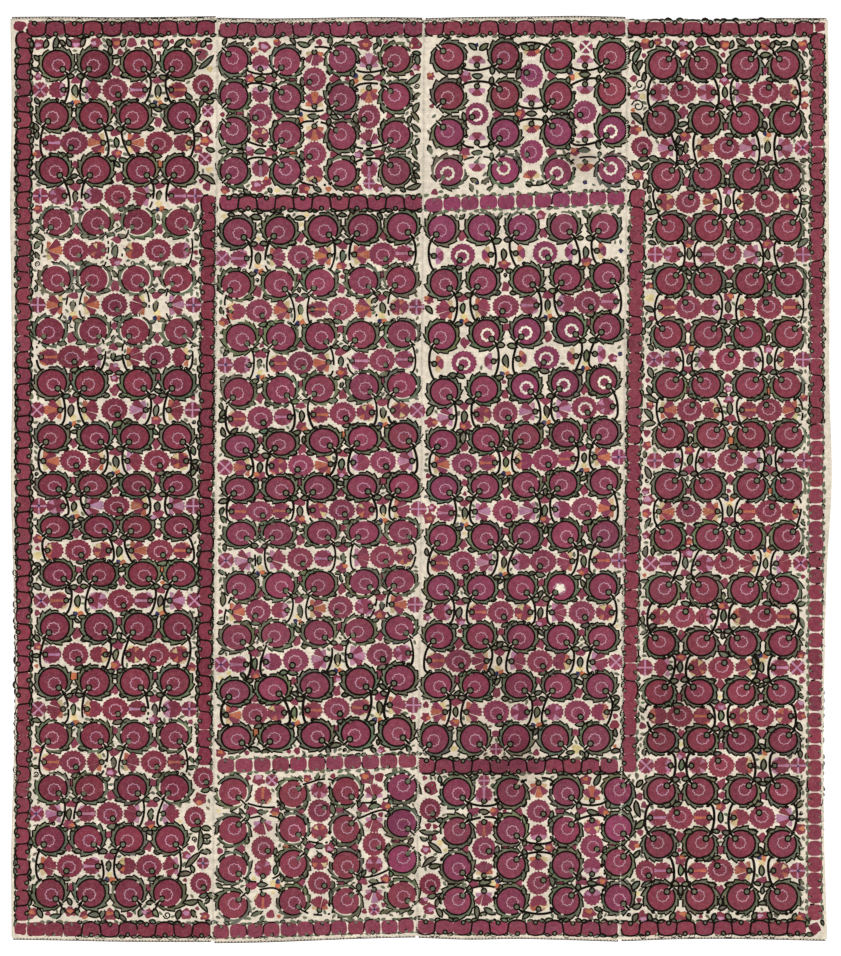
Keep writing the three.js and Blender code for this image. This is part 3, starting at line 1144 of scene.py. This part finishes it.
# %% Joined meshes
def sewn(name, work):
    """One mesh from the gathered shapes of a thread."""
    flat = metres(np.concatenate(work.places))
    lift = np.concatenate(work.lifts)
    tint = np.concatenate(work.dyes)
    faces = {n: np.concatenate(work.faces[n]) for n in (3, 4) if work.faces[n]}
    rows = {n: np.concatenate(work.rows[n]) for n in faces}
    for n, corners in faces.items():
        a, b, c = (flat[corners[:, i]] for i in range(3))
        facing = np.cross(b - a, c - a)
        over = facing < 0
        corners[over] = corners[over][:, ::-1]
        rows[n][over] = rows[n][over][:, ::-1]
    used = np.unique(np.concatenate([corners.ravel() for corners in faces.values()]))
    renamed = np.zeros(len(flat), int)
    renamed[used] = np.arange(len(used))
    flat, lift, tint = flat[used], lift[used], np.clip(tint[used], 0, 1)
    height = cockle(flat[:, 0], flat[:, 1]) + CLOTH_THICK + lift
    loops = renamed[np.concatenate([corners.ravel() for corners in faces.values()])]
    sizes = np.concatenate([np.full(len(corners), n) for n, corners in faces.items()])
    mesh = bpy.data.meshes.new(name)
    mesh.vertices.add(len(flat))
    mesh.vertices.foreach_set("co", np.column_stack((flat, height)).ravel())
    mesh.loops.add(len(loops))
    mesh.loops.foreach_set("vertex_index", loops.astype(np.int32))
    mesh.polygons.add(len(sizes))
    mesh.polygons.foreach_set("loop_start", np.concatenate(([0], sizes.cumsum()[:-1])).astype(np.int32))
    mesh.update(calc_edges=True)
    mesh.polygons.foreach_set("use_smooth", np.ones(len(sizes), bool))
    stitch = np.concatenate([where.reshape(-1, 2) for where in rows.values()])
    mesh.uv_layers.new(name="stitch").data.foreach_set("uv", stitch.ravel().astype(np.float32))
    upper = np.repeat(flat[loops[np.concatenate(([0], sizes.cumsum()[:-1]))]][:, 1] > 0, sizes)
    spot = flat[loops]
    low, high = flat.min(0), flat.max(0)
    share = (spot[:, 0] - low[0]) / (high[0] - low[0]) * 0.48 + 0.01
    rise = np.where(upper, spot[:, 1] / high[1], spot[:, 1] / low[1])
    bake = np.stack((share + np.where(upper, 0.5, 0.0), np.clip(rise, -0.01, 1) * 0.97 + 0.015), 1)
    mesh.uv_layers.new(name="OFBake").data.foreach_set("uv", bake.ravel().astype(np.float32))
    mesh.uv_layers.active_index = 0
    mesh.uv_layers["stitch"].active_render = True
    colours = mesh.color_attributes.new("dye", "FLOAT_COLOR", "POINT")
    opaque = np.column_stack((tint, np.ones(len(tint))))
    colours.data.foreach_set("color", opaque.ravel().astype(np.float32))
    mesh.validate()
    piece = bpy.data.objects.new(name, mesh)
    bpy.context.scene.collection.objects.link(piece)
    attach(piece, "root")
    return piece


SLOTS = {"red": "red_silk", "green": "green_silk", "dark": "dark_silk", "accent": "pale_silk"}
stitching = {name: [] for name in WIDTHS}
for name in WIDTHS:
    for thread, slot in SLOTS.items():
        stitching[name].append(sewn(f"{thread}_{name}", silks[name][thread]))
for name, work in joins.items():
    stitching[name].append(sewn(f"join_{name}", work))
for node, work in braids.items():
    piece = sewn(node.replace("braid", "edging"), work)
    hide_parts(node)
    stitching[node.split("_", 2)[2]].append(piece)
shown = [piece for pieces in stitching.values() for piece in pieces]
triangles = {piece.name: sum(len(p.vertices) - 2 for p in piece.data.polygons) for piece in shown}
print("triangles:", sum(triangles.values()), "most in one piece:", max(triangles.values()))

# %% [markdown]


# %% [markdown]
# Shared effects for the finishes. Silk rows lie side by side in a couching that is tied down at intervals,
# so light slides along each row. Dye lots vary, and light has faded the threads unevenly. Old water marks
# and soot cross cloth and silk alike, so every finish reads the same stains from the place on the cloth.

# %% Shared effects
def new_group(name, inputs, outputs):
    """A node group with named sockets, given as (name, socket type, value)."""
    group = bpy.data.node_groups.new(name, "ShaderNodeTree")
    for label, kind, value in inputs:
        socket = group.interface.new_socket(label, in_out="INPUT", socket_type=kind)
        if value is not None:
            socket.default_value = value
    for label, kind in outputs:
        group.interface.new_socket(label, in_out="OUTPUT", socket_type=kind)
    return group, group.nodes.new("NodeGroupInput"), group.nodes.new("NodeGroupOutput")


def node(tree, kind, links=None, **values):
    """A node with values set on it and sockets linked or set by name or number."""
    made = tree.nodes.new(kind)
    for key, value in values.items():
        setattr(made, key, value)
    for key, value in (links or {}).items():
        if isinstance(value, bpy.types.NodeSocket):
            tree.links.new(value, made.inputs[key])
        else:
            made.inputs[key].default_value = value
    return made


def sums(tree, operation, first, second):
    return node(tree, "ShaderNodeMath", {0: first, 1: second}, operation=operation).outputs[0]


def wave(tree, value, rate=1.0):
    """A sine that runs rate times for each step of one in the value."""
    return sums(tree, "SINE", sums(tree, "MULTIPLY", value, rate * TURN), 0.0)


def noise(tree, place, scale, detail):
    links = {"Vector": place, "Scale": scale, "Detail": detail}
    return node(tree, "ShaderNodeTexNoise", links).outputs["Fac"]


def blend(tree, mode, share, first, second):
    """A colour mix. Mix has a set of sockets for each kind of value, and those from number 6 are colours."""
    return node(
        tree, "ShaderNodeMix", {0: share, 6: first, 7: second}, data_type="RGBA", blend_type=mode
    ).outputs[2]


def between(tree, value, low, high, to_low, to_high):
    links = {"Value": value, "From Min": low, "From Max": high, "To Min": to_low, "To Max": to_high}
    return node(tree, "ShaderNodeMapRange", links).outputs["Result"]


def stitch_rows_group():
    """Height and shade of silk rows that follow a shape's outline."""
    group, given, result = new_group(
        "Stitch rows",
        (("Place in rows", "NodeSocketVector", None), ("Rows per metre", "NodeSocketFloat", 620.0),
         ("Ties per metre", "NodeSocketFloat", 250.0)),
        (("Height", "NodeSocketFloat"), ("Shade", "NodeSocketFloat")),
    )
    parts = node(group, "ShaderNodeSeparateXYZ", {0: given.outputs["Place in rows"]})
    stray = node(group, "ShaderNodeTexNoise", {"Vector": given.outputs["Place in rows"], "Scale": 90.0})
    sway = sums(group, "MULTIPLY", stray.outputs["Fac"], 0.0016)
    across = sums(group, "ADD", parts.outputs["Y"], sway)
    counted = sums(group, "MULTIPLY", across, given.outputs["Rows per metre"])
    rows = wave(group, counted)
    shift = sums(group, "MULTIPLY", sums(group, "FLOOR", counted, 0.0), 0.5)
    along = sums(group, "MULTIPLY", parts.outputs["X"], given.outputs["Ties per metre"])
    ties = wave(group, sums(group, "ADD", along, shift))
    height = sums(group, "ADD", sums(group, "MULTIPLY", rows, 0.36), sums(group, "MULTIPLY", ties, 0.14))
    broad = wave(group, across, 190.0)
    shade = sums(group, "ADD", sums(group, "MULTIPLY", rows, 0.07), sums(group, "MULTIPLY", broad, 0.06))
    group.links.new(sums(group, "ADD", height, 0.5), result.inputs["Height"])
    group.links.new(sums(group, "ADD", shade, 1.0), result.inputs["Shade"])
    return group


def fade_group():
    """Uneven dye and fading, read from the place on the cloth."""
    group, given, result = new_group(
        "Dye and fade",
        (("Colour", "NodeSocketColor", None), ("Place", "NodeSocketVector", None),
         ("Fading", "NodeSocketFloat", 0.3), ("Grain", "NodeSocketFloat", 0.2),
         ("Faded colour", "NodeSocketColor", (0.6, 0.45, 0.42, 1))),
        (("Colour", "NodeSocketColor"),),
    )
    place = given.outputs["Place"]
    small = between(group, noise(group, place, 75.0, 3.0), 0.25, 0.75, 0.8, 1.2)
    large = between(group, noise(group, place, 7.0, 2.0), 0.3, 0.7, 0.9, 1.1)
    grain = between(group, noise(group, place, 330.0, 2.0), 0.25, 0.75, -1.0, 1.0)
    light = sums(group, "MULTIPLY", small, large)
    coarse = sums(group, "MULTIPLY", grain, given.outputs["Grain"])
    light = sums(group, "MULTIPLY", light, sums(group, "ADD", coarse, 1.0))
    varied = node(group, "ShaderNodeVectorMath", {0: given.outputs["Colour"]}, operation="SCALE")
    group.links.new(light, varied.inputs["Scale"])
    worn = between(group, noise(group, place, 210.0, 2.0), 0.5, 0.8, 0.0, 1.0)
    share = sums(group, "MULTIPLY", worn, given.outputs["Fading"])
    faded = blend(group, "MIX", share, varied.outputs[0], given.outputs["Faded colour"])
    group.links.new(faded, result.inputs["Colour"])
    return group


# middle and half size in chart squares, depth from 0 to 1
STAINS = (
    ((578, 158), (20, 17), 0.5), ((508, 762), (44, 44), 0.5), ((680, 694), (46, 62), 0.32),
    ((400, 826), (20, 52), 0.3), ((528, 766), (16, 14), 0.5), ((490, 680), (80, 90), 0.25),
)
STAIN_TINT = (0.43, 0.34, 0.32, 1)


def stain_group():
    """Old marks: soft patches with ragged edges."""
    group, given, result = new_group(
        "Stains",
        (("Colour", "NodeSocketColor", None), ("Place", "NodeSocketVector", None)),
        (("Colour", "NodeSocketColor"),),
    )
    place = given.outputs["Place"]
    ragged = noise(group, place, 28.0, 4.0)
    total = None
    for middle, half, depth in STAINS:
        x, y = metres(middle)
        shifted = node(group, "ShaderNodeVectorMath", {0: place, 1: (x, y, 0)}, operation="SUBTRACT")
        scale = (1 / (half[0] * SQUARE), 1 / (half[1] * SQUARE), 0)
        links = {0: shifted.outputs[0], 1: scale}
        scaled = node(group, "ShaderNodeVectorMath", links, operation="MULTIPLY")
        away = node(group, "ShaderNodeVectorMath", {0: scaled.outputs[0]}, operation="LENGTH")
        edge = sums(group, "ADD", away.outputs["Value"], ragged)
        mark_share = between(group, edge, 0.9, 1.6, depth, 0.0)
        total = mark_share if total is None else sums(group, "MAXIMUM", total, mark_share)
    stained = blend(group, "MULTIPLY", total, given.outputs["Colour"], STAIN_TINT)
    group.links.new(stained, result.inputs["Colour"])
    return group


def back_group():
    """What the stitching shows behind: short broken lines of its threads."""
    group, given, result = new_group(
        "Stitches from behind",
        (("Place", "NodeSocketVector", None),),
        (("Colour", "NodeSocketColor"), ("Share", "NodeSocketFloat")),
    )
    place = given.outputs["Place"]
    drawn = node(group, "ShaderNodeMapping", {"Vector": place, "Scale": (140.0, 380.0, 1.0)}).outputs[0]
    lines = noise(group, drawn, 1.0, 1.0)
    patches = noise(group, place, 22.0, 2.0)
    tint = blend(group, "MIX", between(group, patches, 0.52, 0.54, 0.0, 1.0), (*MADDER, 1), (*LEAF, 1))
    tint = blend(group, "MIX", between(group, patches, 0.58, 0.6, 0.0, 1.0), tint, (*IRON, 1))
    group.links.new(tint, result.inputs["Colour"])
    group.links.new(between(group, lines, 0.5, 0.58, 0.0, 0.85), result.inputs["Share"])
    return group


effects = {"rows": stitch_rows_group(), "fade": fade_group(), "stains": stain_group(), "back": back_group()}
print("effects:", *effects)

# %% [markdown]
# The finishes. Every silk takes its colour from the dye of each shape and its relief from the rows. Silk on
# old cloth is dry, so the highlights are wide and weak. The cotton is plain weave with thick and thin picks.

# %% Finishes
WARP_PER_METRE, WEFT_PER_METRE = 900, 820
SILK_RELIEF = 0.0003
WEAVE_RELIEF = 0.00025


def group_node(tree, name, links):
    return node(tree, "ShaderNodeGroup", links, node_tree=effects[name])


def new_finish(name, roughness, specular):
    material = bpy.data.materials.new(name)
    material.use_nodes = True
    tree = material.node_tree
    shader = tree.nodes["Principled BSDF"]
    shader.inputs["Roughness"].default_value = roughness
    shader.inputs["Specular IOR Level"].default_value = specular
    place = tree.nodes.new("ShaderNodeTexCoord").outputs["Object"]
    return material, tree, shader, place


def relief(tree, shader, height, depth):
    bump = node(tree, "ShaderNodeBump", {"Height": height, "Distance": depth, "Strength": 1.0})
    tree.links.new(bump.outputs["Normal"], shader.inputs["Normal"])


def silk_finish(name, fading, faded, roughness=0.75, specular=0.12):
    material, tree, shader, place = new_finish(name, roughness, specular)
    where = node(tree, "ShaderNodeUVMap", uv_map="stitch").outputs["UV"]
    rows = group_node(tree, "rows", {"Place in rows": where})
    tint = node(tree, "ShaderNodeAttribute", attribute_name="dye").outputs["Color"]
    links = {"Colour": tint, "Place": place, "Fading": fading, "Faded colour": faded}
    varied = group_node(tree, "fade", links)
    shaded = node(tree, "ShaderNodeVectorMath", {0: varied.outputs["Colour"]}, operation="SCALE")
    tree.links.new(rows.outputs["Shade"], shaded.inputs["Scale"])
    marked = group_node(tree, "stains", {"Colour": shaded.outputs[0], "Place": place})
    tree.links.new(marked.outputs["Colour"], shader.inputs["Base Color"])
    relief(tree, shader, rows.outputs["Height"], SILK_RELIEF)
    return material


def cotton_finish(name):
    material, tree, shader, place = new_finish(name, 0.9, 0.1)
    parts = node(tree, "ShaderNodeSeparateXYZ", {0: place})
    warp = wave(tree, parts.outputs["X"], WARP_PER_METRE)
    weft = wave(tree, parts.outputs["Y"], WEFT_PER_METRE)
    weave = sums(tree, "MULTIPLY", warp, weft)
    stretched = node(tree, "ShaderNodeMapping", {"Vector": place, "Scale": (12.0, 420.0, 1.0)})
    picks = noise(tree, stretched.outputs[0], 1.0, 3.0)
    light = between(tree, picks, 0.3, 0.7, 0.9, 1.06)
    tint = node(tree, "ShaderNodeVectorMath", {0: tuple(dye("#e6dac6"))}, operation="SCALE")
    tree.links.new(light, tint.inputs["Scale"])
    links = {"Colour": tint.outputs[0], "Place": place, "Fading": 0.25, "Grain": 0.08}
    varied = group_node(tree, "fade", {**links, "Faded colour": (*dye("#cdbba2"), 1)})
    behind = group_node(tree, "back", {"Place": place})
    normal = node(tree, "ShaderNodeNewGeometry").outputs["Normal"]
    facing = node(tree, "ShaderNodeSeparateXYZ", {0: normal})
    below = between(tree, facing.outputs["Z"], -0.5, -0.9, 0.0, 1.0)
    share = sums(tree, "MULTIPLY", behind.outputs["Share"], below)
    both = blend(tree, "MIX", share, varied.outputs["Colour"], behind.outputs["Colour"])
    marked = group_node(tree, "stains", {"Colour": both, "Place": place})
    tree.links.new(marked.outputs["Colour"], shader.inputs["Base Color"])
    relief(tree, shader, sums(tree, "ADD", sums(tree, "MULTIPLY", weave, 0.3), picks), WEAVE_RELIEF)
    return material


def wear_finish(pieces, material):
    for piece in pieces:
        piece.data.materials.clear()
        piece.data.materials.append(material)


pale = (*dye("#c9a9a6"), 1)
finishes = {
    "cotton": cotton_finish("hand-woven cotton"),
    "red": silk_finish("madder silk", 0.16, pale),
    "green": silk_finish("grey green silk", 0.25, (*dye("#b9b49a"), 1)),
    "dark": silk_finish("iron black silk", 0.16, (*dye("#6b5a50"), 1), 0.85, 0.05),
    "accent": silk_finish("light silks", 0.25, (*dye("#e0d2c2"), 1)),
    "join": silk_finish("joining thread", 0.1, (*dye("#d8ccb8"), 1)),
    "edging": silk_finish("edging braid", 0.1, (*dye("#8a7d70"), 1), 0.85, 0.05),
}
wear_finish(cloths.values(), finishes["cotton"])
for kind in (*THREADS, "join", "edging"):
    wear_finish([piece for piece in shown if piece.name.startswith(kind)], finishes[kind])
print("finishes:", len(finishes))

# %% [markdown]
# Light as for a record picture: an even sky for the colours and one soft lamp from the upper left, which
# lets the puffed stitching stand out. The board below is white and a hair lower than the cloth.

# %% Light and floor
SKY = 0.72
LAMP = 1.25
LAMP_TURN = (math.radians(38), 0, math.radians(35))


def light_scene():
    world = bpy.data.worlds.new("even sky")
    world.use_nodes = True
    world.node_tree.nodes["Background"].inputs["Color"].default_value = (1, 1, 1, 1)
    world.node_tree.nodes["Background"].inputs["Strength"].default_value = SKY
    bpy.context.scene.world = world
    data = bpy.data.lights.new("soft lamp", "SUN")
    data.energy = LAMP
    data.angle = math.radians(20)
    lamp = bpy.data.objects.new("soft lamp", data)
    lamp.rotation_euler = LAMP_TURN
    bpy.context.scene.collection.objects.link(lamp)


def board():
    bm = bmesh.new()
    bmesh.ops.create_grid(bm, x_segments=1, y_segments=1, size=6)
    bmesh.ops.translate(bm, verts=bm.verts, vec=(0, 0, -0.0002))
    mesh = bpy.data.meshes.new("white board")
    bm.to_mesh(mesh)
    bm.free()
    floor = bpy.data.objects.new("white board", mesh)
    bpy.context.scene.collection.objects.link(floor)
    material, tree, shader, _ = new_finish("white board", 0.9, 0.0)
    shader.inputs["Base Color"].default_value = (0.95, 0.95, 0.95, 1)
    shader.inputs["Emission Color"].default_value = (1, 1, 1, 1)
    shader.inputs["Emission Strength"].default_value = 0.25
    mesh.materials.append(material)


light_scene()
board()
bpy.context.scene.view_settings.view_transform = "Standard"
print("lit")
